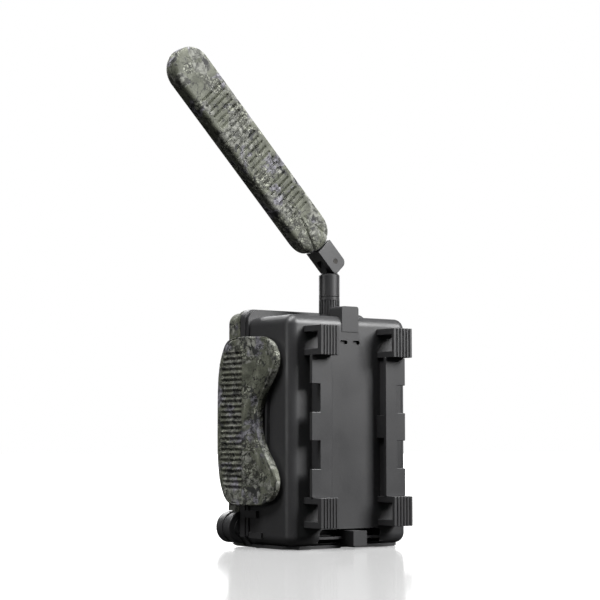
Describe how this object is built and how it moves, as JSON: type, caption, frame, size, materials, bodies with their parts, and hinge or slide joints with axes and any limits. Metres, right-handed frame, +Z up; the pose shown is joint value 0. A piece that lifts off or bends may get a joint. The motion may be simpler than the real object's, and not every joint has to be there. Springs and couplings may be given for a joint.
{
  "type": "trail camera",
  "caption": "Weatherproof trail camera with hinged front, side latch, folding paddle antenna and strap feet on its rear wall.",
  "frame": {"origin": "mouth of the tripod socket in the middle of the base", "axes": "-Y out of the lens, +X towards the latch side, +Z up"},
  "size_m": [0.1658, 0.0836, 0.2853],
  "materials": {
    "housing_plastic": "fine moulded texture",
    "camo_plastic": "bark-pattern film over moulded plastic",
    "soft_rubber": "matt",
    "brass": "machined",
    "steel": "plated",
    "cell_wrap": "plain wrapper",
    "board": "solder mask",
    "black_plastic": "moulded",
    "key_plastic": "moulded",
    "clear_glass": "polished",
    "dark_window": "polished",
    "fresnel": "milky",
    "lamp": "clear dark epoxy"
  },
  "bodies": {
    "housing_body": {"housing": "housing_plastic", "strap_feet": "housing_plastic", "trunk_rails": "housing_plastic", "gasket": "soft_rubber", "base_plate": "housing_plastic", "foot_pads": "soft_rubber", "tripod_bushing": "brass", "base_screws": "steel", "hinge_pins": "steel", "battery_tray": "black_plastic", "batteries": "cell_wrap", "battery_contacts": "steel", "battery_cover": "black_plastic", "modem_board": "board", "modem_shield": "steel", "modem_cover": "black_plastic", "modem_screws": "steel", "sma_connector": "brass", "coax_pigtail": "black_plastic", "antenna_nut": "black_plastic", "dc_jack": "black_plastic"},
    "door_body": {"door_shell": "camo_plastic", "door_panel": "black_plastic", "main_board": "board", "image_sensor": "black_plastic", "lens_holder": "black_plastic", "lens_barrel": "black_plastic", "lens_glass": "clear_glass", "lens_bezel": "black_plastic", "ir_window": "dark_window", "led_board": "board", "ir_leds": "lamp", "pir_lens": "fresnel", "pir_sensor": "steel", "pod_caps": "housing_plastic", "pod_discs": "housing_plastic", "display_module": "black_plastic", "display_window": "clear_glass", "tact_switches": "black_plastic", "sd_socket": "steel", "sim_socket": "steel", "usb_port": "steel", "panel_screws": "steel", "latch_pin": "steel"},
    "latch_body": {"latch": "camo_plastic"},
    "antenna_base_body": {"antenna_base": "black_plastic"},
    "antenna_arm_body": {"antenna_elbow": "black_plastic", "antenna_pin": "steel", "paddle_rear": "camo_plastic", "paddle_front": "camo_plastic", "antenna_radiator": "board"},
    "dc_flap_body": {"dc_flap": "soft_rubber"},
    "power_switch_body": {"power_switch": "key_plastic"},
    "sd_card_body": {"sd_card": "black_plastic"},
    "sim_card_body": {"sim_card": "key_plastic"},
    "button_up_body": {"button_up": "key_plastic"},
    "button_down_body": {"button_down": "key_plastic"},
    "button_left_body": {"button_left": "key_plastic"},
    "button_right_body": {"button_right": "key_plastic"},
    "button_ok_body": {"button_ok": "key_plastic"}
  },
  "joints": [
    {"name": "door_swing", "type": "hinge", "parent": "housing_body", "child": "door_body", "pos_m": [-0.0494, -0.01935, 0.071], "axis": [0, 0, -1], "range_deg": [0, 110]},
    {"name": "latch_swing", "type": "hinge", "parent": "door_body", "child": "latch_body", "pos_m": [0.05, -0.0286, 0.074], "axis": [0, 0, -1], "range_deg": [0, 60]},
    {"name": "antenna_swivel", "type": "hinge", "parent": "housing_body", "child": "antenna_base_body", "pos_m": [0, 0.008, 0.15], "axis": [0, 0, 1], "range_deg": [-180, 180]},
    {"name": "antenna_tilt", "type": "hinge", "parent": "antenna_base_body", "child": "antenna_arm_body", "pos_m": [0, 0.008, 0.1687], "axis": [0, 1, 0], "range_deg": [-44, 46]},
    {"name": "dc_flap_lift", "type": "hinge", "parent": "housing_body", "child": "dc_flap_body", "pos_m": [-0.04455, 0.014, 0.03], "axis": [0, 1, 0], "range_deg": [0, 150]},
    {"name": "power_switch_slide", "type": "slide", "parent": "door_body", "child": "power_switch_body", "axis": [1, 0, 0], "range_m": [0, 0.006]},
    {"name": "sd_card_eject", "type": "slide", "parent": "door_body", "child": "sd_card_body", "axis": [0, 0, -1], "range_m": [-0.0015, 0.005]},
    {"name": "sim_card_eject", "type": "slide", "parent": "door_body", "child": "sim_card_body", "axis": [0, 0, -1], "range_m": [-0.001, 0.005]},
    {"name": "button_up_press", "type": "slide", "parent": "door_body", "child": "button_up_body", "axis": [0, -1, 0], "range_m": [0, 0.0005], "stiffness_N_per_m": 400, "springref_m": -0.0005},
    {"name": "button_down_press", "type": "slide", "parent": "door_body", "child": "button_down_body", "axis": [0, -1, 0], "range_m": [0, 0.0005], "stiffness_N_per_m": 400, "springref_m": -0.0005},
    {"name": "button_left_press", "type": "slide", "parent": "door_body", "child": "button_left_body", "axis": [0, -1, 0], "range_m": [0, 0.0005], "stiffness_N_per_m": 400, "springref_m": -0.0005},
    {"name": "button_right_press", "type": "slide", "parent": "door_body", "child": "button_right_body", "axis": [0, -1, 0], "range_m": [0, 0.0005], "stiffness_N_per_m": 400, "springref_m": -0.0005},
    {"name": "button_ok_press", "type": "slide", "parent": "door_body", "child": "button_ok_body", "axis": [0, -1, 0], "range_m": [0, 0.0005], "stiffness_N_per_m": 400, "springref_m": -0.0005}
  ]
}
